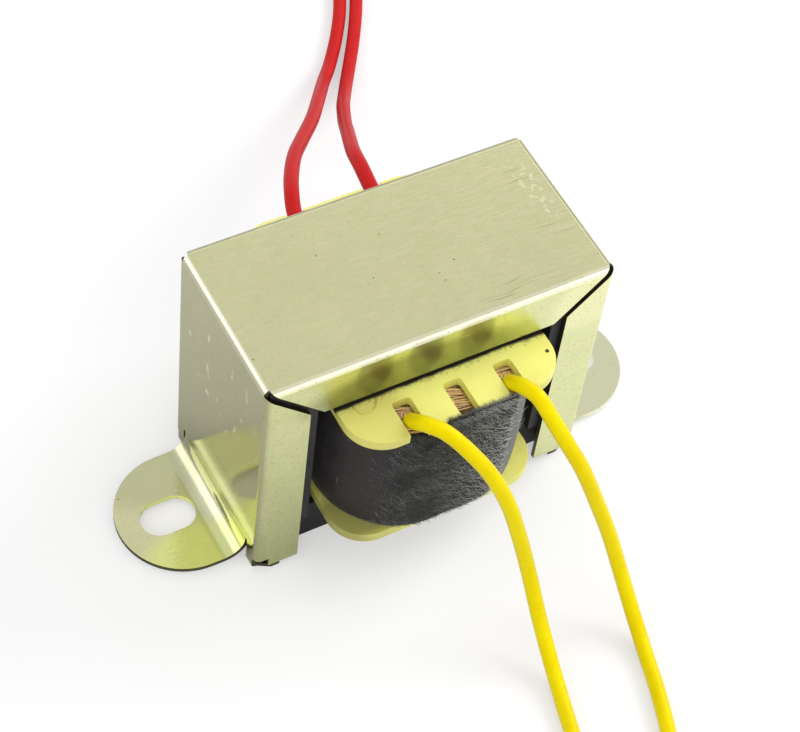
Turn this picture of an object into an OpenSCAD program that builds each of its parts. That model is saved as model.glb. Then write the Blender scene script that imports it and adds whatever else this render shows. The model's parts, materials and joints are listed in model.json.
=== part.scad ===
// Chassis-mount mains transformer with an EI core, a channel frame and flying leads.
// Millimetres. X runs from ear to ear, Y from the front (low-voltage leads) to the back, Z is up.
// The origin is at the middle of the footprint, on the surface that the ears are screwed to.

/* [Core] */
// Width of the centre limb
centre_limb = 13; // [10:0.5:18]
// Width of each winding window
window_w = 8; // [7:0.25:11]
// Height of each winding window
window_h = 21; // [17:0.5:30]
// Width of each outer limb and of the yoke
outer_limb = 6; // [5:0.25:9]
// Number of lamination sheets in the stack
sheet_count = 40; // [30:2:60]
// Pitch from one sheet to the next, varnish included
sheet_pitch = 0.5; // [0.35:0.05:0.65]
// Varnish between two sheets
varnish_gap = 0.02; // [0.01:0.01:0.05]
// Sheets at each face of the stack that have no I piece below them
bare_sheets = 3; // [1:1:6]
// Sheets that face the same way before the next ones are turned over
turned_group = 2; // [1:1:4]
// Gap where an I piece butts against an E piece
butt_gap = 0.05; // [0.02:0.01:0.1]

/* [Frame] */
// Thickness of the frame's sheet steel
steel_t = 0.6; // [0.5:0.05:1]
// Inside radius of the long bends
bend_r = 0.3; // [0.2:0.05:0.6]
// Clearance between the core and the frame's inside faces
frame_clear = 0.1; // [0.05:0.05:0.2]
// Depth of the turned-down flanges along the top
top_flange = 6.4; // [4:0.2:9]
// Width of the turned-in flanges along the legs
leg_flange = 5.4; // [4:0.2:8]
// Gap between the mitred ends of two flanges
mitre_gap = 0.9; // [0.3:0.1:1.6]
// Gap between the lower end of a leg flange and the tab plane
flange_lift = 0.1; // [0:0.05:0.4]
// Width of the relief cut at a leg's lower corner
relief_w = 1.7; // [1.2:0.1:2.5]
// Height of the relief cut at a leg's lower corner
relief_h = 1.4; // [1:0.1:2.5]
// How far a retaining tab reaches under the core
tab_reach = 3.2; // [2:0.2:5]
// Slit between an ear and the tab beside it
tab_slit = 0.4; // [0.2:0.1:0.8]
// How much wider a tab is under the core than where it leaves the leg
tab_flare = 0.8; // [0.2:0.1:0.8]

/* [Ears] */
// Width of a mounting ear
ear_w = 16; // [13:0.5:17]
// Reach of an ear from the leg's outer face
ear_reach = 12; // [10:0.5:18]
// Inside radius of the bend from leg to ear
ear_bend_r = 2.5; // [1:0.1:2.6]
// Height of an ear's underside above the tabs, taken up when its screw is tightened
ear_lift = 0.5; // [0.1:0.1:0.8]
// Distance from the middle of one mounting slot to the middle of the other
slot_spacing = 54.2; // [54:0.2:56.6]
// Width of a mounting slot
slot_w = 4.6; // [3.4:0.1:5]
// Overall length of a mounting slot
slot_l = 6.7; // [5.5:0.1:7]

/* [Bobbin] */
// Clearance between the centre limb and the bobbin's tube
limb_clear = 0.15; // [0.1:0.05:0.4]
// Wall of the bobbin's tube
tube_wall = 0.9; // [0.7:0.1:1.4]
// Thickness of the bobbin's flanges
flange_t = 1.3; // [0.9:0.1:1.8]
// Height left free above the bobbin in the window
bobbin_play = 0.3; // [0.1:0.1:0.8]
// Width of a flange
flange_w = 25.6; // [22:0.2:26.6]
// Reach of the upper flange beyond the stack's front face
front_reach = 6.9; // [6.2:0.1:8]
// Reach of the upper flange beyond the stack's back face
back_reach = 5.9; // [5.2:0.1:8]
// Reach of the lower flange beyond the stack's faces
lower_reach = 6; // [4:0.1:7.5]
// Corner radius of a flange
flange_corner = 4.5; // [2:0.25:6]
// Distance between neighbouring notches at the front
notch_pitch = 6.2; // [5:0.1:7]
// How far the middle front notch lies to the right of the centre line
notch_shift = 0.3; // [-0.5:0.1:0.5]
// Distance between the two notches at the back
back_pitch = 9.8; // [8:0.2:14]
// How far the back notches' middle lies to the right of the centre line
back_shift = 0.45; // [-0.6:0.05:0.6]
// Width of a notch
notch_w = 2.3; // [2.2:0.1:2.8]
// Length of a notch from the flange's edge
notch_l = 4.6; // [4.2:0.1:4.8]
// Corner radius at a notch's closed end
notch_r = 0.4; // [0.2:0.05:0.8]

/* [Windings] */
// Corner radius of the bobbin's tube
tube_corner = 0.5; // [0.3:0.1:1]
// Build of the primary winding
primary_build = 2.2; // [1.8:0.1:2.6]
// Thickness of the wrap between the windings
wrap_t = 0.25; // [0.1:0.05:0.4]
// Thickness of the outer cloth tape
tape_t = 0.55; // [0.3:0.05:0.7]
// How far the tape bellies out at half height
tape_belly = 0.3; // [0.1:0.1:0.5]
// Gap between the tape at its fullest and the outer limbs
tape_clear = 1.8; // [1.4:0.1:2.2]
// Gap between the windings and the upper flange
winding_gap = 0.4; // [0.3:0.1:0.8]
// Extra roundness that the wire takes on for each millimetre of build
corner_growth = 1.9; // [1.6:0.05:2]
// How much faster the wire builds up outside the core than in the windows
bow = 1.2; // [1.05:0.05:1.25]
// Distance from the left front notch to the left end of the tape's lap
lap_left = 3.3; // [2.4:0.1:5]
// Distance from the right end of the tape's lap to the right front notch
lap_right = 0.4; // [0.4:0.1:3]

/* [Leads] */
// Outside diameter of a lead's insulation
lead_d = 1.8; // [1.4:0.1:2]
// Diameter of a lead's stranded conductor
strand_d = 0.9; // [0.6:0.05:1.1]
// Bare tinned length at a lead's free end
bare_l = 5; // [3:0.5:10]
// Diameter of a soldered joint in a notch
joint_d = 1.1; // [0.9:0.1:1.2]
// Length of a soldered joint
joint_l = 0.9; // [0.6:0.1:1]
// Diameter of the wire tail that comes up from the winding
tail_d = 0.7; // [0.5:0.1:0.8]

/* [Hidden] */
$fn = 64;

// Core
core_w = centre_limb + 2 * window_w + 2 * outer_limb;
core_h = window_h + 2 * outer_limb;
stack = sheet_count * sheet_pitch;
sheet_t = sheet_pitch - varnish_gap;
core_z = steel_t;
window_z = core_z + outer_limb;

// Frame: outside width, depth and height, and the outside radii of its bends
frame_w = core_w + 2 * (frame_clear + steel_t);
frame_d = stack + 2 * (frame_clear + steel_t);
frame_h = core_z + core_h + frame_clear + steel_t;
outer_r = bend_r + steel_t;
tab_r = frame_clear + steel_t;
flange_z = steel_t + flange_lift;
leg_z = ear_lift + steel_t + ear_bend_r;
ear_tip = frame_w / 2 + ear_reach;

// Bobbin: heights of its flanges, and half sizes of its tube
bobbin_h = window_h - bobbin_play;
upper_z = window_z + bobbin_h - flange_t;
tube_x = centre_limb / 2 + limb_clear + tube_wall;
tube_y = stack / 2 + limb_clear + tube_wall;
front_edge = stack / 2 + front_reach;
back_edge = stack / 2 + back_reach;
lower_edge = stack / 2 + lower_reach;

// Windings: total build out to each layer's outside, and their heights. The secondary fills what
// the primary, the wraps and the gaps leave of the window's width.
primary_out = primary_build;
wrap_out = primary_out + wrap_t;
tape_out = window_w - limb_clear - tube_wall - tape_belly - tape_clear;
secondary_out = tape_out - tape_t;
wind_z0 = window_z + flange_t;
wind_z1 = upper_z - winding_gap;

// Leads: height of a lead in its notch, and where the notches lie
lead_z = upper_z + flange_t / 2;
notch_left = notch_shift - notch_pitch;
notch_right = notch_shift + notch_pitch;
back_left = back_shift - back_pitch / 2;
back_right = back_shift + back_pitch / 2;

// Steps along the leads' insulation: how far to the right of the notch, how far beyond the flange's
// edge, and the height as a share of the height in the notch
yellow_left_steps = [
    [0, -2.1, 1], [0.05, -1.2, 1.035], [0.5, 0, 1.07], [1.9, 1.8, 1.07], [3.6, 3.9, 1.01],
    [5.3, 6.3, 0.92], [6.9, 8.2, 0.77], [8.2, 9.8, 0.57], [9.2, 11.8, 0.35], [9.4, 15.1, 0.16],
    [9, 19.3, 0.04], [7.9, 24.3, 0], [6.4, 29.6, 0], [4.3, 34.8, 0], [1.5, 39.6, 0],
    [-1.9, 44, 0], [-5.9, 47.9, 0], [-10.5, 51.1, 0], [-15.5, 53.6, 0], [-21.1, 55.3, 0],
    [-27, 56.1, 0]
];
yellow_right_steps = [
    [-0.2, -2.1, 1], [-0.15, -1.2, 1.035], [0.2, 0, 1.06], [0.9, 1.7, 1.06], [1.6, 3.9, 1],
    [2.7, 6.2, 0.9], [4, 8.1, 0.78], [5.5, 9.9, 0.6], [6.9, 11.9, 0.41], [7.9, 14.7, 0.2],
    [8, 18.7, 0.05], [7.1, 23.5, 0], [5.5, 29, 0], [3.5, 34.4, 0], [1, 39.6, 0], [-2, 44.5, 0],
    [-5.6, 49, 0], [-9.8, 52.9, 0], [-14.5, 56.1, 0], [-19.7, 58.5, 0], [-26.4, 60.2, 0]
];
red_left_steps = [
    [0, -3.2, 1], [0, -2, 1], [0.2, 0.1, 1], [1.2, 2.8, 1], [3.1, 6.5, 0.94], [5.9, 11, 0.84],
    [9.3, 15.4, 0.72], [13.7, 20.9, 0.57], [17.6, 26.5, 0.41], [21, 31.6, 0.25], [24, 36.1, 0.1],
    [27.2, 40.3, 0.015], [30.6, 44.9, 0], [33.6, 49.7, 0], [36, 54.9, 0], [37.6, 60.4, 0],
    [38.2, 66.1, 0], [37.6, 73.9, 0]
];
red_right_steps = [
    [0, -3.2, 1], [0, -2, 1], [0.2, 0.3, 1], [0.7, 3.4, 0.99], [1.8, 7.1, 0.92],
    [3.8, 11.3, 0.79], [6.2, 15.9, 0.63], [8.7, 20.9, 0.47], [11.5, 26.2, 0.33],
    [14.2, 30.6, 0.18], [16.8, 34.7, 0.065], [19.6, 38.9, 0.01], [22.8, 43.7, 0],
    [25.8, 48.7, 0], [28.4, 53.9, 0], [30.4, 59.5, 0], [31.6, 65.5, 0], [31.8, 71.7, 0],
    [31.3, 76.4, 0]
];
function route(steps, notch_x, edge, side) = [
    for (s = steps)
        [notch_x + s[0], side * (edge + s[1]), lead_d / 2 + s[2] * (lead_z - lead_d / 2)]
];
yellow_left_route = route(yellow_left_steps, notch_left, front_edge, -1);
yellow_right_route = route(yellow_right_steps, notch_right, front_edge, -1);
red_left_route = route(red_left_steps, back_left, back_edge, 1);
red_right_route = route(red_right_steps, back_right, back_edge, 1);

// A rectangle with rounded corners, centred, given by its half sizes
module rounded(half_x, half_y, r) {
    square([2 * half_x, 2 * (half_y - r)], center = true);
    square([2 * (half_x - r), 2 * half_y], center = true);
    for (sx = [-1, 1], sy = [-1, 1])
        translate([sx * (half_x - r), sy * (half_y - r)]) circle(r);
}

// Extrudes an outline drawn in X and Z through a thickness along Y, from y0 towards the back
module wall_xz(y0, thickness) {
    translate([0, y0 + thickness, 0]) rotate([90, 0, 0]) linear_extrude(thickness) children();
}

// Extrudes an outline drawn in Y and Z through a thickness along X, from x0 to the right
module wall_yz(x0, thickness) {
    translate([x0, 0, 0]) rotate([90, 0, 90]) linear_extrude(thickness) children();
}

// A quarter of a bend, as an outline in the quadrant of positive x and y
module bend_outline(r_in, r_out) {
    intersection() {
        difference() {
            circle(r_out);
            circle(r_in);
        }
        square(r_out + 1);
    }
}

// Top plate and its two bends down into the legs, with both legs down to their lower bends
module frame_web() {
    flat_d = frame_d - 2 * outer_r;
    straight_w = frame_w - 2 * outer_r;
    leg_top = frame_h - outer_r;
    translate([-straight_w / 2, -flat_d / 2, frame_h - steel_t]) cube([straight_w, flat_d, steel_t]);
    for (side = [-1, 1]) {
        wall_xz(-flat_d / 2, flat_d)
            translate([side * straight_w / 2, leg_top])
                scale_side(side) bend_outline(bend_r, outer_r);
        leg_x = side > 0 ? frame_w / 2 - steel_t : -frame_w / 2;
        wall_yz(leg_x, steel_t)
            translate([-flat_d / 2, leg_z]) square([flat_d, leg_top - leg_z]);
    }
}

// Mirrors a flat outline for the left side
module scale_side(side) {
    if (side > 0) children();
    else mirror([1, 0]) children();
}

// A flange turned down from the top plate at the front, with its bend, before its ends are mitred
module top_flange_blank() {
    wall_yz(-frame_w / 2, frame_w)
        translate([-frame_d / 2 + outer_r, frame_h - outer_r])
            mirror([1, 0]) bend_outline(bend_r, outer_r);
    translate([-frame_w / 2, -frame_d / 2, frame_h - top_flange])
        cube([frame_w, steel_t, top_flange - outer_r]);
}

// A flange turned in from the right leg at the front, with its bend and the relief at its foot
module leg_flange_blank() {
    bend_z = flange_z + relief_h;
    translate([frame_w / 2 - outer_r, -frame_d / 2 + outer_r, bend_z])
        linear_extrude(frame_h - bend_z) mirror([0, 1]) bend_outline(bend_r, outer_r);
    difference() {
        translate([frame_w / 2 - leg_flange, -frame_d / 2, flange_z])
            cube([leg_flange - outer_r, steel_t, frame_h - flange_z]);
        translate([frame_w / 2 - relief_w, -frame_d / 2 - 1, flange_z - 1])
            cube([relief_w, steel_t + 2, relief_h + 1]);
    }
}

// The region above (or below) the mitre lines that run down and inwards from the top corners
module mitre_side(above) {
    gap_z = mitre_gap / sqrt(2);
    half = frame_w / 2;
    wall_xz(-frame_d, 2 * frame_d)
        if (above)
            polygon([
                [-half, frame_h + gap_z], [half, frame_h + gap_z], [0, frame_h - half + gap_z]
            ]);
        else
            polygon([
                [-half, frame_h - gap_z], [0, frame_h - half - gap_z], [half, frame_h - gap_z],
                [half, 0], [-half, 0]
            ]);
}

module front_flanges() {
    intersection() {
        top_flange_blank();
        mitre_side(true);
    }
    intersection() {
        union() {
            leg_flange_blank();
            mirror([1, 0, 0]) leg_flange_blank();
        }
        mitre_side(false);
    }
}

// The right ear, with its bend out of the leg and its slot
module ear() {
    plate_x = frame_w / 2 + ear_bend_r;
    wall_xz(-ear_w / 2, ear_w)
        translate([plate_x, leg_z]) rotate(180) bend_outline(ear_bend_r, ear_bend_r + steel_t);
    translate([0, 0, ear_lift]) linear_extrude(steel_t) difference() {
        union() {
            translate([plate_x, -ear_w / 2]) square([ear_tip - ear_w / 2 - plate_x, ear_w]);
            intersection() {
                translate([ear_tip - ear_w / 2, 0]) circle(ear_w / 2, $fn = 96);
                translate([plate_x, -ear_w / 2]) square([ear_tip - plate_x, ear_w]);
            }
        }
        slot_outline();
    }
}

module slot_outline() {
    run = slot_l - slot_w;
    translate([slot_spacing / 2, 0]) {
        square([run, slot_w], center = true);
        for (s = [-1, 1]) translate([s * run / 2, 0]) circle(slot_w / 2);
    }
}

// Retaining tab beside the right ear, turned in under the core
module tab() {
    tab_y0 = ear_w / 2 + tab_slit;
    tab_y1 = frame_d / 2 - outer_r;
    bend_x = frame_w / 2 - tab_r;
    inner_x = frame_w / 2 - tab_reach;
    wall_xz(tab_y0, tab_y1 - tab_y0) {
        translate([bend_x, tab_r]) mirror([0, 1]) bend_outline(frame_clear, tab_r);
        translate([frame_w / 2 - steel_t, tab_r]) square([steel_t, leg_z - tab_r]);
    }
    linear_extrude(steel_t)
        polygon([
            [inner_x, tab_y0], [bend_x, tab_y0], [bend_x, tab_y1],
            [inner_x + tab_reach / 3, tab_y1 + tab_flare], [inner_x, tab_y1 + tab_flare]
        ]);
}

// One folded sheet of zinc-plated steel
module channel_frame() {
    color("#bcbd93") {
        difference() {
            frame_web();
            for (side = [-1, 1], end = [-1, 1])
                slit(side, end);
        }
        front_flanges();
        mirror([0, 1, 0]) front_flanges();
        for (side = [0, 1])
            mirror([side, 0, 0]) {
                ear();
                tab();
                mirror([0, 1, 0]) tab();
            }
    }
}

// The slit between an ear and a tab, carried up into the leg as far as the bends reach
module slit(side, end) {
    slit_h = leg_z + tab_slit;
    translate([side * frame_w / 2, end * (ear_w / 2 + tab_slit / 2), slit_h / 2])
        cube([4 * steel_t, tab_slit, slit_h + 0.01], center = true);
}

// Outline of an E piece with its back at the top
module e_outline() {
    half = core_w / 2;
    difference() {
        translate([-half, 0]) square([core_w, core_h - outer_limb]);
        for (s = [-1, 1])
            translate([s * (centre_limb + window_w) / 2, window_h / 2 - 0.5])
                square([window_w, window_h + 1], center = true);
    }
}

// True where a sheet has its E piece turned over, with the back at the bottom
function is_bare(i) = i < bare_sheets || i >= sheet_count - bare_sheets;
function is_turned(i) = !is_bare(i) && floor((i - bare_sheets) / turned_group) % 2 == 0;
function sheet_y(i) = (i - sheet_count / 2) * sheet_pitch + varnish_gap / 2;

module e_laminations() {
    color("#4a4a4c")
        for (i = [0 : sheet_count - 1])
            wall_xz(sheet_y(i), sheet_t)
                if (is_turned(i)) translate([0, core_z + core_h - outer_limb]) mirror([0, 1]) e_outline();
                else translate([0, core_z + outer_limb]) e_outline();
}

module i_laminations() {
    color("#434345")
        for (i = [bare_sheets : sheet_count - 1 - bare_sheets]) {
            i_z = is_turned(i) ? core_z + core_h - outer_limb + butt_gap : core_z;
            translate([-core_w / 2, sheet_y(i), i_z]) cube([core_w, sheet_t, outer_limb - butt_gap]);
        }
}

// Flange outline, reaching from the front edge to the back edge
module flange_outline(front, back) {
    translate([0, (back - front) / 2]) rounded(flange_w / 2, (front + back) / 2, flange_corner);
}

// A notch open at the flange's front edge, with rounded inner corners
module notch_outline(edge) {
    length = notch_l + 1;
    translate([0, -edge - 1]) {
        translate([-notch_w / 2, 0]) square([notch_w, length - notch_r]);
        translate([-notch_w / 2 + notch_r, 0]) square([notch_w - 2 * notch_r, length]);
        for (s = [-1, 1]) translate([s * (notch_w / 2 - notch_r), length - notch_r]) circle(notch_r);
    }
}

module upper_flange_outline() {
    difference() {
        flange_outline(front_edge, back_edge);
        for (x = [notch_left, notch_shift, notch_right])
            translate([x, 0]) notch_outline(front_edge);
        for (x = [back_left, back_right])
            translate([x, 0]) mirror([0, 1]) notch_outline(back_edge);
    }
}

module bobbin() {
    color("#e6df86")
        difference() {
            union() {
                translate([0, 0, window_z])
                    linear_extrude(flange_t) flange_outline(lower_edge, lower_edge);
                translate([0, 0, window_z])
                    linear_extrude(bobbin_h) rounded(tube_x, tube_y, tube_corner);
                translate([0, 0, upper_z]) linear_extrude(flange_t) upper_flange_outline();
            }
            translate([0, 0, window_z - 1])
                linear_extrude(bobbin_h + 2)
                    square([2 * (tube_x - tube_wall), 2 * (tube_y - tube_wall)], center = true);
        }
}

// Outline of the winding when it is built out by a given amount: the wire bows outwards in front of
// the core and behind it, and its corners grow rounder
module wound_outline(build) {
    round_r = min(tube_corner + corner_growth * build, tube_x + build - 0.5);
    rounded(tube_x + build, tube_y + bow * build, round_r);
}

// One wound layer, from one build to the next
module wound_layer(build_in, build_out) {
    translate([0, 0, wind_z0])
        linear_extrude(wind_z1 - wind_z0)
            difference() {
                wound_outline(build_out);
                wound_outline(build_in);
            }
}

module primary_winding() {
    color("#b06a34") wound_layer(0, primary_out);
}

module winding_wrap() {
    color("#d9c65a") wound_layer(primary_out, wrap_out);
}

module secondary_winding() {
    color("#c07a42") wound_layer(wrap_out, secondary_out);
}

// The cloth tape bellies out at half height and laps up over the front edge of the upper flange
module outer_tape() {
    wind_h = wind_z1 - wind_z0;
    color("#33363a")
        difference() {
            union() {
                translate([0, 0, wind_z0]) linear_extrude(wind_h) wound_outline(tape_out);
                translate([0, 0, wind_z0 + 0.12 * wind_h])
                    linear_extrude(0.76 * wind_h) wound_outline(tape_out + tape_belly / 2);
                translate([0, 0, wind_z0 + 0.28 * wind_h])
                    linear_extrude(0.44 * wind_h) wound_outline(tape_out + tape_belly);
                tape_lap();
            }
            translate([0, 0, wind_z0 - 1]) linear_extrude(wind_h + 1.005) wound_outline(secondary_out);
        }
}

// The strip of tape that stands up in front of the flange, between the outer notches
module tape_lap() {
    lap_x = notch_left + lap_left;
    lap_w = notch_right - lap_right - lap_x;
    lap_root = tube_y + bow * tape_out - tape_t / 2;
    lap_back = max(front_edge + 0.05, lap_root);
    lap_front = max(lap_back + tape_t / 2, tube_y + bow * (tape_out + tape_belly));
    lap_z0 = wind_z1 - 1.5;
    translate([lap_x, -lap_front, lap_z0]) cube([lap_w, lap_front - lap_root, wind_z1 - lap_z0]);
    translate([lap_x, -lap_front, lap_z0])
        cube([lap_w, lap_front - lap_back, upper_z + flange_t - lap_z0]);
}

// Direction of a route at one of its points, as a unit vector
function unit(v) = v / norm(v);
function heading(route, i) = unit(
    i == 0 ? route[1] - route[0] :
    i == len(route) - 1 ? route[i] - route[i - 1] :
    unit(route[i + 1] - route[i]) + unit(route[i] - route[i - 1])
);

// Corners of the ring round a point of the route
function ring(centre, dir, r, sides) =
    let (
        right = unit(cross(dir, abs(dir[2]) < 0.9 ? [0, 0, 1] : [1, 0, 0])),
        up = cross(right, dir)
    )
    [for (k = [0 : sides - 1]) centre + r * (cos(360 * (k + 0.5) / sides) * right
        + sin(360 * (k + 0.5) / sides) * up)];

// A round tube swept along a route
module swept_tube(route, d) {
    sides = 8;
    rings = len(route);
    points = [for (i = [0 : rings - 1]) each ring(route[i], heading(route, i), d / 2, sides)];
    walls = [
        for (i = [0 : rings - 2], k = [0 : sides - 1])
            let (a = i * sides, b = a + sides, next = (k + 1) % sides)
            each [[a + k, b + k, b + next], [a + k, b + next, a + next]]
    ];
    start = [[for (k = [0 : sides - 1]) k]];
    finish = [[for (k = [0 : sides - 1]) rings * sides - 1 - k]];
    polyhedron(points, concat(start, finish, walls), convexity = 6);
}

// Turns a cylinder that stands on the origin to lie along a direction
module along(dir) {
    rotate([0, acos(dir[2]), atan2(dir[1], dir[0])]) children();
}

// The tinned strands that show past a lead's insulation
module bare_strands(route) {
    last = len(route) - 1;
    translate(route[last]) along(heading(route, last)) cylinder(d = strand_d, h = bare_l);
}

// The soldered joint behind a lead's insulation, with the tail that comes up from the winding
module lead_joint(route) {
    dir = heading(route, 0);
    foot = route[0] - 0.75 * joint_l * dir;
    translate(route[0]) along(-dir) cylinder(d = joint_d, h = joint_l);
    translate([foot[0], foot[1], wind_z1]) cylinder(d = tail_d, h = foot[2] - wind_z1);
}

module yellow_lead_left() {
    color("#f2d90a") swept_tube(yellow_left_route, lead_d);
}

module yellow_lead_right() {
    color("#f2d90a") swept_tube(yellow_right_route, lead_d);
}

module red_lead_left() {
    color("#d32f33") swept_tube(red_left_route, lead_d);
}

module red_lead_right() {
    color("#d32f33") swept_tube(red_right_route, lead_d);
}

module yellow_strands_left() {
    color("#b9b7b0") bare_strands(yellow_left_route);
}

module yellow_strands_right() {
    color("#b9b7b0") bare_strands(yellow_right_route);
}

module red_strands_left() {
    color("#b9b7b0") bare_strands(red_left_route);
}

module red_strands_right() {
    color("#b9b7b0") bare_strands(red_right_route);
}

module yellow_joint_left() {
    color("#b87848") lead_joint(yellow_left_route);
}

module yellow_joint_right() {
    color("#b87848") lead_joint(yellow_right_route);
}

module red_joint_left() {
    color("#b87848") lead_joint(red_left_route);
}

module red_joint_right() {
    color("#b87848") lead_joint(red_right_route);
}

channel_frame();
e_laminations();
i_laminations();
bobbin();
primary_winding();
winding_wrap();
secondary_winding();
outer_tape();
yellow_lead_left();
yellow_lead_right();
red_lead_left();
red_lead_right();
yellow_strands_left();
yellow_strands_right();
red_strands_left();
red_strands_right();
yellow_joint_left();
yellow_joint_right();
red_joint_left();
red_joint_right();
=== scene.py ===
import json
import math
import random

import bmesh
import bpy
from mathutils import Matrix, Vector, noise
from mathutils.bvhtree import BVHTree

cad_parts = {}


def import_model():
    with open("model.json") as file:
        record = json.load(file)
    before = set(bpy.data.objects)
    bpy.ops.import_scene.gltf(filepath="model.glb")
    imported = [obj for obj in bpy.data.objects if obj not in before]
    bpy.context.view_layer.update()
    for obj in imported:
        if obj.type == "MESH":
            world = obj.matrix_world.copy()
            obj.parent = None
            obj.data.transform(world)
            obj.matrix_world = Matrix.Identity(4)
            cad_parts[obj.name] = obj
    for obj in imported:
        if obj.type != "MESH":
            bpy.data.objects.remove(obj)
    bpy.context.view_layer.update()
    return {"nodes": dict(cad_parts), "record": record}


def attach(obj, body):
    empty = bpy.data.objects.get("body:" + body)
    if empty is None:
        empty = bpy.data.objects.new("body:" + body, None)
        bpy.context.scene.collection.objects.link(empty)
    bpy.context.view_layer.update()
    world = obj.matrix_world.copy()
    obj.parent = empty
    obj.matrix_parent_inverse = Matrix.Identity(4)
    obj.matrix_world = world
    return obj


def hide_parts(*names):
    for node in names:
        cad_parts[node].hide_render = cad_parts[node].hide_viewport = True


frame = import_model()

MM = 0.001
scene = bpy.context.scene
scene.view_settings.view_transform = "Standard"

# Sizes shared by several pieces, in millimetres
LEAD_R = 0.9
NOTCH_Z = 26.65
FRONT_EDGE = 16.9
BACK_EDGE = 15.9
FRONT_NOTCHES = (-5.9, 0.3, 6.5)
BACK_NOTCHES = (-4.45, 5.35)
FLANGE_TOP = 27.3
WIND_Z0 = 7.9
WIND_Z1 = 25.6
TUBE_HALF = (7.55, 11.05)
FRAME_FRONT = -10.7

# How far each layer of the winding is built out from the bobbin's tube, in millimetres
PRIMARY_BUILD = 2.2
WRAP_BUILD = 2.45
SECONDARY_BUILD = 4.3
TAPE_INSIDE = 4.33
TAPE_BUILD = 4.85

# The strip of tape that stands up in front of the flange, in millimetres
LAP_FROM, LAP_TO = -2.6, 6.1
LAP_FOOT = 24.1
LAP_FRONT, LAP_BACK = -17.22, -16.97

# The leads, in millimetres
BARE_LENGTH = 5

# The view: angles in degrees, distances in millimetres
VIEW_AZIMUTH, VIEW_ELEVATION, VIEW_ROLL = -35.11, 53.09, 8.575
VIEW_DISTANCE = 274.874
VIEW_RIGHT, VIEW_UP = 3.054, 8.851
VIEW_LENS = 103.39


# ---------------------------------------------------------------- camera

def place_camera():
    azimuth, elevation, roll = (
        math.radians(angle) for angle in (VIEW_AZIMUTH, VIEW_ELEVATION, VIEW_ROLL))
    back = Vector((
        math.sin(azimuth) * math.cos(elevation),
        -math.cos(azimuth) * math.cos(elevation),
        math.sin(elevation),
    ))
    right = (-back).cross(Vector((0, 0, 1))).normalized()
    up = right.cross(-back)
    turned_right = math.cos(roll) * right + math.sin(roll) * up
    turned_up = math.cos(roll) * up - math.sin(roll) * right
    data = bpy.data.cameras.new("camera")
    data.lens = VIEW_LENS
    data.sensor_width = 36
    data.clip_start, data.clip_end = 0.01, 20
    camera = bpy.data.objects.new("camera", data)
    place = Matrix((turned_right, turned_up, back)).transposed().to_4x4()
    place.translation = MM * (
        back * VIEW_DISTANCE + turned_right * VIEW_RIGHT + turned_up * VIEW_UP)
    camera.matrix_world = place
    scene.collection.objects.link(camera)
    scene.camera = camera


place_camera()


# ---------------------------------------------------------------- making meshes

def new_piece(name, mesh):
    piece = bpy.data.objects.new(name, mesh)
    scene.collection.objects.link(piece)
    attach(piece, "root")
    return piece


def mesh_from(name, points, faces, smooth=True):
    """A mesh from points in millimetres."""
    mesh = bpy.data.meshes.new(name)
    mesh.from_pydata([Vector(p) * MM for p in points], [], faces)
    mesh.update()
    if smooth:
        mesh.shade_smooth()
    return mesh


def finish_mesh(mesh, modifiers):
    """Runs modifiers on a mesh and returns the result as a plain mesh."""
    carrier = bpy.data.objects.new("carrier", mesh)
    scene.collection.objects.link(carrier)
    for kind, settings in modifiers:
        modifier = carrier.modifiers.new(kind.lower(), kind)
        for key, value in settings.items():
            setattr(modifier, key, value)
    graph = bpy.context.evaluated_depsgraph_get()
    result = bpy.data.meshes.new_from_object(carrier.evaluated_get(graph))
    bpy.data.objects.remove(carrier)
    return result


def with_part(mesh, part):
    """The mesh with more points and faces, in millimetres, added to it."""
    shape = bmesh.new()
    shape.from_mesh(mesh)
    points, faces = part
    corners = [shape.verts.new(Vector(p) * MM) for p in points]
    for face in faces:
        shape.faces.new([corners[i] for i in face]).smooth = True
    shape.to_mesh(mesh)
    shape.free()
    return mesh


def softened_copy(node, width, angle=35, segments=2):
    """A merged copy of a node's mesh with its sharp edges rounded by width millimetres."""
    mesh = frame["nodes"][node].data.copy()
    shape = bmesh.new()
    shape.from_mesh(mesh)
    bmesh.ops.remove_doubles(shape, verts=shape.verts, dist=0.002 * MM)
    bmesh.ops.dissolve_limit(
        shape, angle_limit=math.radians(0.6), verts=shape.verts, edges=shape.edges
    )
    shape.to_mesh(mesh)
    shape.free()
    mesh.materials.clear()
    mesh.shade_smooth()
    mesh.set_sharp_from_angle(angle=math.radians(angle))
    return finish_mesh(mesh, [
        ("BEVEL", dict(width=width * MM, segments=segments, limit_method="ANGLE",
                       angle_limit=math.radians(angle), harden_normals=True,
                       use_clamp_overlap=True)),
        ("WEIGHTED_NORMAL", dict(keep_sharp=True, weight=60)),
    ])


def face_attribute(mesh, name, value_of):
    """Stores a number on each face, which a material reads by name."""
    values = mesh.attributes.new(name, "FLOAT", "FACE").data
    for face in mesh.polygons:
        values[face.index].value = value_of(face)


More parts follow.
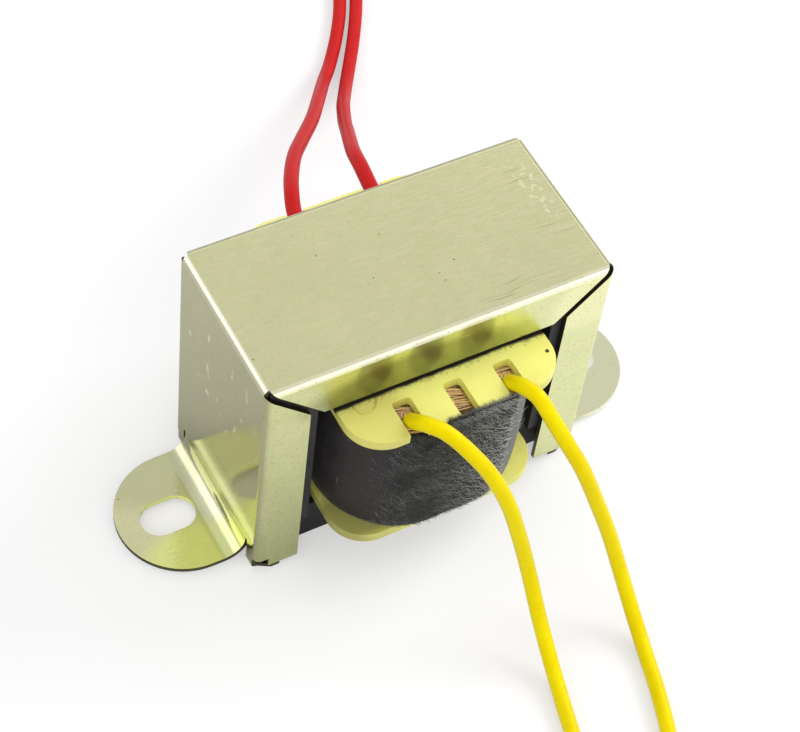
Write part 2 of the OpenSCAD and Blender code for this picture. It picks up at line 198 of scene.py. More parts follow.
def mark_sheet(mesh):
    """Tells a sheet part's cut edges and its front and back faces from the rest."""
    tree = BVHTree.FromPolygons([v.co for v in mesh.vertices],
                                [tuple(face.vertices) for face in mesh.polygons])
    mesh.calc_loop_triangles()
    inside = {}
    for triangle in mesh.loop_triangles:
        if triangle.area > inside.get(triangle.polygon_index, (0, None))[0]:
            middle = sum((mesh.vertices[v].co for v in triangle.vertices), Vector()) / 3
            inside[triangle.polygon_index] = (triangle.area, middle)

    def is_cut(face):
        if face.index not in inside:
            return 0.0
        inward = -face.normal
        hit = tree.ray_cast(inside[face.index][1] + inward * 0.01 * MM, inward)
        return 0.0 if hit[3] and 0.4 * MM < hit[3] < 0.8 * MM else 1.0

    face_attribute(mesh, "cut_edge", is_cut)
    face_attribute(mesh, "front_or_back", lambda face: float(abs(face.normal.y) > 0.8))
    face_attribute(mesh, "fold", lambda face: float(
        0.1 < face.normal.z < 0.97 and face.area > 0.02 * MM ** 2 and not is_cut(face)))


def tube(name, line, radius, sides=10, closed_ends=True):
    """Points and faces of a round tube along a line of points; radius may be a list."""
    line = [Vector(p) for p in line]
    radii = radius if isinstance(radius, list) else [radius] * len(line)
    points, faces = [], []
    side = None
    for i, centre in enumerate(line):
        ahead = (line[min(i + 1, len(line) - 1)] - line[max(i - 1, 0)]).normalized()
        if side is None:
            side = ahead.orthogonal().normalized()
        side = (side - ahead * side.dot(ahead)).normalized()
        across = ahead.cross(side)
        for k in range(sides):
            turn = math.tau * k / sides
            points.append(centre + radii[i] * (math.cos(turn) * side + math.sin(turn) * across))
    for i in range(len(line) - 1):
        for k in range(sides):
            a, b = i * sides + k, i * sides + (k + 1) % sides
            faces.append((a, b, b + sides, a + sides))
    if closed_ends:
        faces.append(tuple(reversed(range(sides))))
        faces.append(tuple(range(len(points) - sides, len(points))))
    return points, faces


def joined(parts):
    """Several lots of points and faces as one."""
    points, faces = [], []
    for more_points, more_faces in parts:
        start = len(points)
        points += more_points
        faces += [tuple(start + i for i in face) for face in more_faces]
    return points, faces


# ---------------------------------------------------------------- the four leads

LEAD_STEPS = {
    "yellow_lead_left": [
        (0, -2.1, 1), (0.05, -1.2, 1.035), (0.5, 0, 1.07), (1.9, 1.8, 1.07), (3.6, 3.9, 1.01),
        (5.3, 6.3, 0.92), (6.9, 8.2, 0.77), (8.2, 9.8, 0.57), (9.2, 11.8, 0.35),
        (9.4, 15.1, 0.16), (9, 19.3, 0.04), (7.9, 24.3, 0), (6.4, 29.6, 0), (4.3, 34.8, 0),
        (1.5, 39.6, 0), (-1.9, 44, 0), (-5.9, 47.9, 0), (-10.5, 51.1, 0), (-15.5, 53.6, 0),
        (-21.1, 55.3, 0), (-27, 56.1, 0),
    ],
    "yellow_lead_right": [
        (-0.2, -2.1, 1), (-0.15, -1.2, 1.035), (0.2, 0, 1.06), (0.9, 1.7, 1.06), (1.6, 3.9, 1),
        (2.7, 6.2, 0.9), (4, 8.1, 0.78), (5.5, 9.9, 0.6), (6.9, 11.9, 0.41), (7.9, 14.7, 0.2),
        (8, 18.7, 0.05), (7.1, 23.5, 0), (5.5, 29, 0), (3.5, 34.4, 0), (1, 39.6, 0),
        (-2, 44.5, 0), (-5.6, 49, 0), (-9.8, 52.9, 0), (-14.5, 56.1, 0), (-19.7, 58.5, 0),
        (-26.4, 60.2, 0),
    ],
    "red_lead_left": [
        (0, -3.2, 1), (0, -2, 1), (0.2, 0.1, 1), (1.2, 2.8, 1), (3.1, 6.5, 0.94),
        (5.9, 11, 0.84), (9.3, 15.4, 0.72), (13.7, 20.9, 0.57), (17.6, 26.5, 0.41),
        (21, 31.6, 0.25), (24, 36.1, 0.1), (27.2, 40.3, 0.015), (30.6, 44.9, 0),
        (33.6, 49.7, 0), (36, 54.9, 0), (37.6, 60.4, 0), (38.2, 66.1, 0), (37.6, 73.9, 0),
    ],
    "red_lead_right": [
        (0, -3.2, 1), (0, -2, 1), (0.2, 0.3, 1), (0.7, 3.4, 0.99), (1.8, 7.1, 0.92),
        (3.8, 11.3, 0.79), (6.2, 15.9, 0.63), (8.7, 20.9, 0.47), (11.5, 26.2, 0.33),
        (14.2, 30.6, 0.18), (16.8, 34.7, 0.065), (19.6, 38.9, 0.01), (22.8, 43.7, 0),
        (25.8, 48.7, 0), (28.4, 53.9, 0), (30.4, 59.5, 0), (31.6, 65.5, 0), (31.8, 71.7, 0),
        (31.3, 76.4, 0),
    ],
}
LEAD_STARTS = {
    "yellow_lead_left": (FRONT_NOTCHES[0], FRONT_EDGE, -1),
    "yellow_lead_right": (FRONT_NOTCHES[2], FRONT_EDGE, -1),
    "red_lead_left": (BACK_NOTCHES[0], BACK_EDGE, 1),
    "red_lead_right": (BACK_NOTCHES[1], BACK_EDGE, 1),
}


def lead_route(name):
    """The lead's points in millimetres, from its notch to the stripped end."""
    notch, edge, side = LEAD_STARTS[name]
    return [
        Vector((notch + across, side * (edge + out), LEAD_R + share * (NOTCH_Z - LEAD_R)))
        for across, out, share in LEAD_STEPS[name]
    ]


def lead_insulation(name):
    """A soft tube as one smooth curve through the lead's points."""
    curve = bpy.data.curves.new(name, "CURVE")
    curve.dimensions = "3D"
    spline = curve.splines.new("BEZIER")
    route = lead_route(name)
    spline.bezier_points.add(len(route) - 1)
    for i, point in enumerate(spline.bezier_points):
        before, here, after = route[max(i - 1, 0)], route[i], route[min(i + 1, len(route) - 1)]
        ahead = (after - before).normalized()
        for handle, reach in (("left", (before - here).length), ("right", (after - here).length)):
            setattr(point, f"handle_{handle}_type", "FREE")
            sign = -1 if handle == "left" else 1
            end = here + ahead * sign * max(reach, 0.1) / 3
            end.z = max(end.z, LEAD_R)
            setattr(point, f"handle_{handle}", end * MM)
        point.co = here * MM
        point.radius = LEAD_R * MM
    spline.resolution_u = 10
    curve.bevel_depth = 1.0
    curve.bevel_resolution = 6
    curve.use_fill_caps = True
    return curve


def bare_strands(name):
    """Seven tinned strands in a long twist, past the insulation's end."""
    route = lead_route(name)
    start, ahead = route[-1], (route[-1] - route[-2]).normalized()
    side = ahead.cross(Vector((0, 0, 1))).normalized()
    up = side.cross(ahead)
    rng = random.Random(name)
    strands = []
    for k in range(7):
        reach = 0.0 if k == 0 else 0.29
        line = []
        for i in range(15):
            along = i / 14 * (BARE_LENGTH - rng.random() * 0.02)
            turn = math.tau * (k / 6 + along / 9)
            spread = reach * (1 + 0.02 * along)
            round_it = math.cos(turn) * side + math.sin(turn) * up
            line.append(start + ahead * along + spread * round_it)
        strands.append(tube(name, line, 0.15, sides=8))
    return joined(strands)


leads = {}
for lead_name in LEAD_STEPS:
    tips = new_piece(
        lead_name.replace("lead", "bare_tip"),
        mesh_from("strands", *bare_strands(lead_name)),
    )
    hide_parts(lead_name.replace("lead", "strands"))
    lead = new_piece(lead_name.replace("lead", "wire"), lead_insulation(lead_name))
    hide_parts(lead_name)
    leads[lead_name] = (lead, tips)


# ---------------------------------------------------------------- materials

class Tree:
    """Adds nodes to a node tree, each with its inputs and settings in one call."""

    def __init__(self, tree):
        self.tree = tree

    def add(self, kind, inputs=None, **settings):
        node = self.tree.nodes.new(kind)
        for key, value in settings.items():
            setattr(node, key, value)
        for key, value in (inputs or {}).items():
            if isinstance(value, bpy.types.NodeSocket):
                self.tree.links.new(value, node.inputs[key])
            else:
                node.inputs[key].default_value = value
        return node

    def math(self, operation, a, b=0.5):
        node = self.add("ShaderNodeMath", {0: a, 1: b}, operation=operation)
        return node.outputs[0]

    def ramp(self, value, low, high, to_low=0.0, to_high=1.0):
        """Maps a stretch of values to another, with soft ends."""
        node = self.add(
            "ShaderNodeMapRange",
            {"Value": value, "From Min": low, "From Max": high, "To Min": to_low,
             "To Max": to_high},
            interpolation_type="SMOOTHSTEP",
        )
        return node.outputs["Result"]

    def mix(self, share, a, b):
        node = self.add("ShaderNodeMix", data_type="RGBA")
        for socket, value in ((0, share), (6, a), (7, b)):
            if isinstance(value, bpy.types.NodeSocket):
                self.tree.links.new(value, node.inputs[socket])
            else:
                node.inputs[socket].default_value = value
        return node.outputs[2]

    def noise(self, place, scale, detail=4.0, roughness=0.5, distortion=0.0):
        return self.add(
            "ShaderNodeTexNoise",
            {"Vector": place, "Scale": scale, "Detail": detail, "Roughness": roughness,
             "Distortion": distortion},
        ).outputs["Fac"]

    def attribute(self, name):
        return self.add("ShaderNodeAttribute", attribute_name=name).outputs["Fac"]

    def patch(self, place, centre, reach):
        """A soft mask, 1 near centre and 0 beyond reach, both in millimetres."""
        offset = self.add("ShaderNodeVectorMath", {0: place, 1: Vector(centre) * MM},
                          operation="SUBTRACT").outputs[0]
        share = self.add("ShaderNodeVectorMath", {0: offset, 1: Vector(reach) * MM},
                         operation="DIVIDE").outputs[0]
        away = self.add("ShaderNodeVectorMath", {0: share}, operation="LENGTH").outputs["Value"]
        return self.ramp(away, 0.6, 1.0, 1.0, 0.0)

    def stretched(self, place, x, y, z):
        return self.add(
            "ShaderNodeMapping", {"Vector": place, "Scale": (x, y, z)}
        ).outputs["Vector"]


def group(name, inputs, outputs, build):
    """A shader node group; inputs are (name, type, value), outputs are (name, type)."""
    tree = bpy.data.node_groups.new(name, "ShaderNodeTree")
    for label, kind, value in inputs:
        socket = tree.interface.new_socket(label, in_out="INPUT", socket_type="NodeSocket" + kind)
        if value is not None:
            socket.default_value = value
    for label, kind in outputs:
        tree.interface.new_socket(label, in_out="OUTPUT", socket_type="NodeSocket" + kind)
    t = Tree(tree)
    start, end = t.add("NodeGroupInput"), t.add("NodeGroupOutput")
    for label, socket in build(t, start.outputs).items():
        tree.links.new(socket, end.inputs[label])
    return tree


def build_specks(t, given):
    cells = t.add("ShaderNodeTexVoronoi", {"Vector": given["Place"], "Scale": given["Scale"],
                                           "Randomness": 1.0})
    size = t.math("MULTIPLY", given["Size"], cells.outputs["Color"])
    near = t.math("LESS_THAN", cells.outputs["Distance"], size)
    picked = t.noise(given["Place"], t.math("MULTIPLY", given["Scale"], 0.37), 1.0)
    chosen = t.math("GREATER_THAN", picked, t.math("SUBTRACT", 1.0, given["Share"]))
    return {"Mask": t.math("MULTIPLY", near, chosen)}


def build_mottle(t, given):
    broad = t.noise(given["Place"], given["Scale"], 5.0, 0.6)
    fine = t.noise(given["Place"], t.math("MULTIPLY", given["Scale"], 5.3), 3.0, 0.6)
    both = t.math("ADD", t.math("MULTIPLY", broad, 0.65), t.math("MULTIPLY", fine, 0.35))
    half = t.math("MULTIPLY", given["Contrast"], 0.5)
    low = t.math("SUBTRACT", 0.5, half)
    high = t.math("ADD", 0.5, half)
    return {"Mask": t.ramp(both, low, high)}


def build_scratches(t, given):
    warped = t.noise(given["Place"], 90.0, 2.0)
    bent = t.add("ShaderNodeVectorMath", {0: given["Place"], 1: t.add(
        "ShaderNodeCombineXYZ", {"X": t.math("MULTIPLY", warped, 0.004),
                                 "Y": t.math("MULTIPLY", warped, -0.003)}).outputs[0]},
                 operation="ADD").outputs[0]
    streak = t.noise(t.stretched(bent, 60.0, 1600.0, 1600.0), 1.0, 3.0, 0.55)
    thin = t.ramp(streak, t.math("SUBTRACT", 0.74, given["Amount"]), 0.76)
    return {"Mask": thin}


SPECKS = group(
    "specks",
    [("Place", "Vector", None), ("Scale", "Float", 2000.0), ("Size", "Float", 0.2),
     ("Share", "Float", 0.4)],
    [("Mask", "Float")], build_specks,
)
MOTTLE = group(
    "mottle",
    [("Place", "Vector", None), ("Scale", "Float", 300.0), ("Contrast", "Float", 0.4)],
    [("Mask", "Float")], build_mottle,
)
SCRATCHES = group(
    "scratches",
    [("Place", "Vector", None), ("Amount", "Float", 0.08)],
    [("Mask", "Float")], build_scratches,
)


def use(t, tree, **values):
    node = t.add("ShaderNodeGroup", node_tree=tree)
    for key, value in values.items():
        if isinstance(value, bpy.types.NodeSocket):
            t.tree.links.new(value, node.inputs[key])
        else:
            node.inputs[key].default_value = value
    return node.outputs["Mask"]


def new_material(name, viewport):
    """A material with a bare Principled shader; returns it, its tree helper and the shader."""
    material = bpy.data.materials.new(name)
    material.use_nodes = True
    material.diffuse_color = (*viewport, 1)
    t = Tree(material.node_tree)
    shader = material.node_tree.nodes["Principled BSDF"]
    place = t.add("ShaderNodeTexCoord").outputs["Object"]
    return material, t, shader, place


def feed(t, shader, **sockets):
    for key, value in sockets.items():
        name = key.replace("_", " ").title()
        if isinstance(value, bpy.types.NodeSocket):
            t.tree.links.new(value, shader.inputs[name])
        else:
            shader.inputs[name].default_value = value


def bump(t, height, strength, distance, under=None):
    inputs = {"Height": height, "Strength": strength, "Distance": distance}
    if under is not None:
        inputs["Normal"] = under
    return t.add("ShaderNodeBump", inputs).outputs["Normal"]


def zinc_plate():
    """Zinc-plated sheet with a yellow-green cast, finely rolled, pitted and scuffed."""
    material, t, shader, place = new_material("zinc_plate", (0.58, 0.57, 0.36))
    cut = t.attribute("cut_edge")
    flange = t.attribute("front_or_back")
    slot = t.patch(place, (-27, 0, 0.8), (5.6, 4, 2))
    cut = t.math("MULTIPLY", cut, t.math("SUBTRACT", 1.0, slot))
    rolled = t.stretched(place, 420.0, 2600.0, 2600.0)
    dashes = t.ramp(t.noise(rolled, 1.0, 3.0, 0.6), 0.35, 0.7)
    clouds = use(t, MOTTLE, Place=place, Scale=160.0, Contrast=0.5)
    dashed = t.stretched(place, 0.4, 1.0, 1.0)
    grain = use(t, MOTTLE, Place=dashed, Scale=2000.0, Contrast=0.3)
    hue = use(t, MOTTLE, Place=dashed, Scale=900.0, Contrast=0.3)
    pits = use(t, SPECKS, Place=place, Scale=2200.0, Size=0.28, Share=0.55)
    pits = t.math("MAXIMUM", pits, t.ramp(t.noise(place, 3000.0, 4.0, 0.6), 0.60, 0.67, 0.0, 0.8))
    dark = use(t, SPECKS, Place=place, Scale=900.0, Size=0.14, Share=0.4)
    light = use(t, SCRATCHES, Place=place, Amount=0.05)
    base = t.mix(clouds, (0.70, 0.69, 0.40, 1), (0.76, 0.755, 0.44, 1))
    base = t.mix(t.math("MULTIPLY", dashes, 0.08), base, (0.84, 0.83, 0.55, 1))
    base = t.mix(t.math("MULTIPLY", grain, 0.22), base, (0.60, 0.57, 0.34, 1))
    base = t.mix(0.2, base, t.mix(hue, (0.90, 0.72, 0.52, 1), (0.62, 0.78, 0.38, 1)))
    greener = t.mix(clouds, (0.68, 0.72, 0.35, 1), (0.78, 0.82, 0.45, 1))
    base = t.mix(t.math("MULTIPLY", flange, 0.85), base, greener)
    # Painted reflection: the right end of the front flange is painted paler, as if it mirrored a
    # brighter floor.
    pale_end_reflection = t.patch(place, (18.5, FRAME_FRONT, 30), (6, 2, 6))
    base = t.mix(t.math("MULTIPLY", pale_end_reflection, 0.6), base, (0.93, 0.92, 0.55, 1))
    # Painted reflections, highlights and shade on the front flange, ears and foot, fixed to the
    # part so they don't move with the view. First a painted dark reflection of the bobbin over the
    # middle of the front flange.
    bobbin_reflection_zone = t.patch(place, (-3, FRAME_FRONT, 29), (16, 2, 4.5))
    base = t.mix(t.math("MULTIPLY", bobbin_reflection_zone, 0.68), base, (0.22, 0.23, 0.10, 1))
    # Painted reflections of the front notches: darker patches on the front flange, up and to the
    # left of each notch.
    for notch in FRONT_NOTCHES:
        shade = t.patch(place, (notch - 2.6, FRAME_FRONT, 31.8), (2.6, 2, 4.6))
        shade = t.math("MULTIPLY", shade, flange)
        base = t.mix(t.math("MULTIPLY", shade, 0.42), base, (0.1, 0.105, 0.06, 1))
    # Painted highlight: the bend faces are painted near white.
    base = t.mix(t.math("MULTIPLY", t.attribute("fold"), 0.5), base, (0.95, 0.94, 0.74, 1))
    # Painted reflection: the front half of the left ear is painted bright yellow.
    ear_bright_reflection = t.patch(place, (-26, -7, 1), (9, 6, 3))
    base = t.mix(t.math("MULTIPLY", ear_bright_reflection, 0.75), base, (0.86, 0.92, 0.30, 1))
    # Painted reflection: the back half of the left ear is painted darker olive.
    ear_dark_reflection = t.patch(place, (-26, 8, 1), (10, 8, 3))
    base = t.mix(t.math("MULTIPLY", ear_dark_reflection, 0.45), base, (0.46, 0.48, 0.28, 1))
    # Painted reflection: the right ear is painted paler.
    far_ear = t.patch(place, (28, 0, 1), (10, 14, 3))
    base = t.mix(t.math("MULTIPLY", far_ear, 0.6), base, (0.78, 0.80, 0.58, 1))
    # Painted highlight: the right ear's cut edges are painted near white.
    rim = t.math("MULTIPLY", far_ear, t.attribute("cut_edge"))
    base = t.mix(t.math("MULTIPLY", rim, 0.7), base, (0.96, 0.96, 0.72, 1))
    # Painted shade: the foot of the left leg and the ear's root are painted darker olive.
    leg_foot_shade = t.patch(place, (-21.2, -2, 3), (2, 16, 9))
    base = t.mix(t.math("MULTIPLY", leg_foot_shade, 0.3), base, (0.46, 0.50, 0.26, 1))
    # Painted shade: a darker strip on the ear along the left leg's bend.
    ear_bend_shade = t.patch(place, (-23, -1, 1), (1.3, 14, 1.2))
    base = t.mix(t.math("MULTIPLY", ear_bend_shade, 0.3), base, (0.45, 0.5, 0.34, 1))
    # The right ear's cut edges are left out of the dark cut-edge colour, so their painted highlight
    # stays.
    cut = t.math("MULTIPLY", cut, t.math("SUBTRACT", 1.0, far_ear))
    pitted = t.math("ADD", 0.15, t.math("MULTIPLY", flange, 0.5))
    pitted = t.math("ADD", pitted, t.math("MULTIPLY", bobbin_reflection_zone, 0.25))
    base = t.mix(t.math("MULTIPLY", pits, pitted), base, (0.28, 0.26, 0.08, 1))
    base = t.mix(t.math("MULTIPLY", dark, 0.6), base, (0.16, 0.15, 0.07, 1))
    fine = t.stretched(place, 2.4, 2.4, 2.4)
    scuffed = t.math("MAXIMUM", t.patch(place, (10, -8.6, 34), (9, 1.6, 3)),
                     t.patch(place, (18, 1, 34), (3, 8, 3)))
    scuffs = t.math("MULTIPLY", use(t, SCRATCHES, Place=fine, Amount=0.2), scuffed)
    base = t.mix(t.math("MULTIPLY", scuffs, 0.6), base, (0.34, 0.33, 0.14, 1))
    base = t.mix(t.math("MULTIPLY", light, 0.3), base, (0.86, 0.86, 0.7, 1))
    residue = t.ramp(t.noise(place, 1400.0, 3.0, 0.6), 0.54, 0.6)
    residue = t.math("MULTIPLY", residue, t.patch(place, (18.3, 2.5, 34), (1.6, 6, 3)))
    base = t.mix(t.math("MULTIPLY", residue, 0.7), base, (0.97, 0.95, 0.62, 1))
    nicks = t.noise(t.stretched(place, 900.0, 900.0, 380.0), 1.0, 2.0, 0.4, 0.6)
    nicks = t.math("MULTIPLY", t.ramp(nicks, 0.64, 0.70), t.patch(place, (-21, 0, 24), (3, 11, 10)))
    base = t.mix(t.math("MULTIPLY", nicks, 0.75), base, (0.93, 0.92, 0.80, 1))
    base = t.mix(t.math("MULTIPLY", cut, 0.9), base, (0.055, 0.05, 0.035, 1))
    # Painted highlight: the slot's cut walls are painted bright lime.
    slot_wall = t.math("MULTIPLY", slot, t.attribute("cut_edge"))
    base = t.mix(slot_wall, base, (0.9, 0.93, 0.28, 1))
    rough = t.math("ADD", 0.1, t.math("MULTIPLY", dashes, 0.06))
    for mask, more in ((flange, 0.2), (cut, 0.3), (nicks, 0.4)):
        rough = t.math("ADD", rough, t.math("MULTIPLY", mask, more))
    relief = bump(t, t.noise(place, 2600.0, 3.0), 0.12, 0.00004)
    relief = bump(t, dashes, 0.1, 0.00004, relief)
    relief = bump(t, t.math("MULTIPLY", pits, flange), -0.15, 0.00004, relief)
    stipple = t.math("MULTIPLY", t.noise(place, 3600.0, 4.0, 0.6), flange)
    relief = bump(t, stipple, 0.5, 0.00004, relief)
    # The slot walls lose most of their metallic sheen, so their painted highlight stays bright.
    plated = t.math("SUBTRACT", 1.0, t.math("MULTIPLY", slot_wall, 0.85))
    feed(t, shader, base_color=base, metallic=plated, roughness=rough, normal=relief)
    return material


def core_steel():
    material, t, shader, place = new_material("core_steel", (0.1, 0.1, 0.11))
    clouds = use(t, MOTTLE, Place=place, Scale=220.0, Contrast=0.5)
    grain = t.noise(t.stretched(place, 500.0, 500.0, 5200.0), 1.0, 3.0)
    base = t.mix(clouds, (0.012, 0.012, 0.013, 1), (0.035, 0.034, 0.037, 1))
    base = t.mix(t.math("MULTIPLY", grain, 0.4), base, (0.006, 0.005, 0.006, 1))
    shader.inputs["Specular IOR Level"].default_value = 0.3
    feed(t, shader, base_color=base, metallic=0.1, roughness=0.5,
         normal=bump(t, grain, 0.2, 0.00005))
    return material


def bobbin_plastic():
    material, t, shader, place = new_material("bobbin_plastic", (0.85, 0.8, 0.4))
    clouds = use(t, MOTTLE, Place=place, Scale=120.0, Contrast=0.6)
    dirt = use(t, SPECKS, Place=place, Scale=420.0, Size=0.07, Share=0.4)
    low_left_shade = t.patch(place, (-9, -12.5, 7), (9, 4.5, 3))
    base = t.mix(clouds, (0.79, 0.75, 0.18, 1), (0.86, 0.86, 0.235, 1))
    # Painted shade on the left end of the upper flange.
    left_end_shade = t.patch(place, (-11, -14, 27), (7, 8, 4))
    base = t.mix(t.math("MULTIPLY", left_end_shade, 0.7), base, (0.58, 0.53, 0.13, 1))
    # Painted shade on the left part of the lower flange.
    base = t.mix(t.math("MULTIPLY", low_left_shade, 0.8), base, (0.25, 0.23, 0.07, 1))
    speck = t.patch(place, (11.9, -13.2, 27.3), (0.3, 0.3, 0.5))
    dirt = t.math("MAXIMUM", dirt, speck)
    base = t.mix(dirt, base, (0.03, 0.025, 0.02, 1))
    parts = t.add("ShaderNodeSeparateXYZ", {0: place}).outputs
    waver = t.math("MULTIPLY", t.noise(place, 500.0, 3.0), 0.0006)
    out = t.math("ADD", t.math("ABSOLUTE", parts["Y"]), waver)
    # Painted shade: a dark line on the top flange in the crevice under the frame's front edge.
    under_frame_shade = t.math("MULTIPLY", t.ramp(out, 0.0110, 0.0114, 1.0, 0.0),
                         t.math("GREATER_THAN", parts["Z"], 0.0268))
    # Dark blotches of grime, with painted shade added within about a millimetre of the frame's
    # front edge.
    near = t.math("MULTIPLY", t.ramp(out, 0.0112, 0.0123, 0.2, 0.0),
                  t.math("GREATER_THAN", parts["Z"], 0.0268))
    grime_and_shade = t.ramp(t.math("ADD", t.noise(place, 4200.0, 4.0, 0.65), near), 0.64, 0.76, 0.0, 0.45)
    base = t.mix(grime_and_shade, base, (0.16, 0.15, 0.035, 1))
    # Painted shade in the crevice under the frame's edge.
    base = t.mix(under_frame_shade, base, (0.02, 0.017, 0.012, 1))
    feed(t, shader, base_color=base, roughness=0.42,
         normal=bump(t, t.noise(place, 900.0, 3.0), 0.12, 0.0001))
    shader.inputs["Subsurface Weight"].default_value = 0.12
    shader.inputs["Subsurface Radius"].default_value = (1.0, 0.8, 0.3)
    shader.inputs["Subsurface Scale"].default_value = 0.0008
    return material


def copper(name, light, deep, rough):
    material, t, shader, place = new_material(name, light[:3])
    base = t.mix(use(t, MOTTLE, Place=place, Scale=900.0, Contrast=0.5), deep, light)
    feed(t, shader, base_color=base, metallic=0.4, roughness=rough)
    return material


def tinned():
    material, t, shader, place = new_material("tinned_copper", (0.7, 0.7, 0.68))
    clouds = use(t, MOTTLE, Place=place, Scale=1500.0, Contrast=0.5)
    feed(t, shader, base_color=t.mix(clouds, (0.55, 0.54, 0.52, 1), (0.8, 0.79, 0.77, 1)),
         metallic=1.0, roughness=t.ramp(clouds, 0.0, 1.0, 0.25, 0.45))
    return material


def wrap_film():
    material, t, shader, place = new_material("wrap_film", (0.75, 0.65, 0.25))
    clouds = use(t, MOTTLE, Place=place, Scale=300.0, Contrast=0.5)
    feed(t, shader, base_color=t.mix(clouds, (0.62, 0.5, 0.16, 1), (0.8, 0.7, 0.3, 1)),
         roughness=0.25, normal=bump(t, clouds, 0.1, 0.0001))
    return material


def cloth():
    """Black woven tape with a smooth start, a right end painted lighter where light falls on it,
    and loose grey fibres.
    """
    material, t, shader, place = new_material("cloth_tape", (0.05, 0.05, 0.05))
    fibres = t.noise(t.stretched(place, 2600.0, 2600.0, 5200.0), 1.0, 4.0, 0.65, 1.2)
    clouds = use(t, MOTTLE, Place=place, Scale=230.0, Contrast=0.25)
    woven = t.attribute("woven")
    base = t.mix(clouds, (0.004, 0.004, 0.004, 1), (0.022, 0.023, 0.021, 1))
    smooth = t.mix(clouds, (0.012, 0.008, 0.009, 1), (0.018, 0.014, 0.015, 1))
    across = t.add("ShaderNodeSeparateXYZ", {0: place}).outputs["X"]
    # Painted light: the smooth patch, tufts and hairs grow lighter towards the tape's right end,
    # where light falls.
    lit_right_end = t.ramp(across, -0.004, 0.007)
    smooth = t.mix(lit_right_end, smooth, (0.085, 0.083, 0.088, 1))
    base = t.mix(woven, smooth, base)
    tuft = t.math("MULTIPLY", t.ramp(fibres, 0.5, 0.72), woven)
    base = t.mix(tuft, base, t.mix(lit_right_end, (0.07, 0.072, 0.068, 1), (0.24, 0.24, 0.23, 1)))
    hair = t.mix(clouds, (0.05, 0.052, 0.048, 1), (0.17, 0.172, 0.165, 1))
    hair = t.mix(t.math("MULTIPLY", lit_right_end, 0.85), hair, (0.6, 0.61, 0.58, 1))
    base = t.mix(t.attribute("loose"), base, hair)
    relief = t.math("MULTIPLY", fibres, woven)
    feed(t, shader, base_color=base, roughness=t.ramp(woven, 0.0, 1.0, 0.5, 0.9),
         normal=bump(t, relief, 0.6, 0.0002))
    shader.inputs["Specular IOR Level"].default_value = 0.25
    shader.inputs["Sheen Weight"].default_value = 0.08
    shader.inputs["Sheen Roughness"].default_value = 0.5
    return material


def insulation(name, light, deep, tint, specular):
    material, t, shader, place = new_material(name, light[:3])
    clouds = use(t, MOTTLE, Place=place, Scale=200.0, Contrast=0.7)
    scuffs = use(t, SPECKS, Place=place, Scale=1600.0, Size=0.1, Share=0.3)
    base = t.mix(clouds, deep, light)
    base = t.mix(t.math("MULTIPLY", scuffs, 0.25), base, tuple(c * 0.6 for c in deep[:3]) + (1,))
    feed(t, shader, base_color=base, roughness=t.ramp(clouds, 0.0, 1.0, 0.32, 0.42),
         normal=bump(t, t.noise(place, 700.0, 3.0), 0.08, 0.0001))
    shader.inputs["Specular IOR Level"].default_value = specular
    shader.inputs["Specular Tint"].default_value = tint
    shader.inputs["Subsurface Weight"].default_value = 0.1
    shader.inputs["Subsurface Radius"].default_value = (1.0, 0.6, 0.3)
    shader.inputs["Subsurface Scale"].default_value = 0.0006
    return material


MATERIALS = {
    "zinc_plate": zinc_plate(),
    "core_steel": core_steel(),
    "bobbin_plastic": bobbin_plastic(),
    "enamelled_copper": copper(
        "enamelled_copper", (1.0, 0.78, 0.48, 1), (0.70, 0.40, 0.17, 1), 0.3),
    "bare_copper": copper("bare_copper", (0.93, 0.68, 0.48, 1), (0.75, 0.48, 0.3, 1), 0.28),
    "tinned_copper": tinned(),
    "wrap_film": wrap_film(),
    "cloth_tape": cloth(),
    "yellow_insulation": insulation(
        "yellow_insulation", (0.80, 0.69, 0.003, 1), (0.70, 0.53, 0.001, 1),
        (1, 0.85, 0.05, 1), 0.35),
    "red_insulation": insulation(
        "red_insulation", (0.56, 0.02, 0.02, 1), (0.47, 0.012, 0.012, 1),
        (1, 0.3, 0.3, 1), 0.12),
}


# ---------------------------------------------------------------- windings, joints and tape

def wound_outline(build, count=144):
    """Points round the bobbin's tube when it is built out by build millimetres."""
    half_x, half_y = TUBE_HALF[0] + build, TUBE_HALF[1] + 1.2 * build
    r = 0.5 + 1.9 * build
    flat_x, flat_y = half_x - r, half_y - r
    quarter = math.pi * r / 2
    lengths = [2 * flat_x, quarter, 2 * flat_y, quarter] * 2
    total = sum(lengths)
    corners = [(flat_x, -flat_y, -90), (flat_x, flat_y, 0), (-flat_x, flat_y, 90),
               (-flat_x, -flat_y, 180)]
    starts = [(-flat_x, -half_y), (half_x, -flat_y), (flat_x, half_y), (-half_x, flat_y)]
    steps = [(1, 0), (0, 1), (-1, 0), (0, -1)]
    outline = []
    for i in range(count):
        rest = i / count * total
        for k, length in enumerate(lengths):
            if rest <= length or k == len(lengths) - 1:
                break
            rest -= length
        side = k // 2
        if k % 2 == 0:
            x, y = starts[side]
            outline.append((x + steps[side][0] * rest, y + steps[side][1] * rest))
        else:
            cx, cy, begin = corners[side]
            turn = math.radians(begin + 90 * rest / quarter)
            outline.append((cx + r * math.cos(turn), cy + r * math.sin(turn)))
    return outline


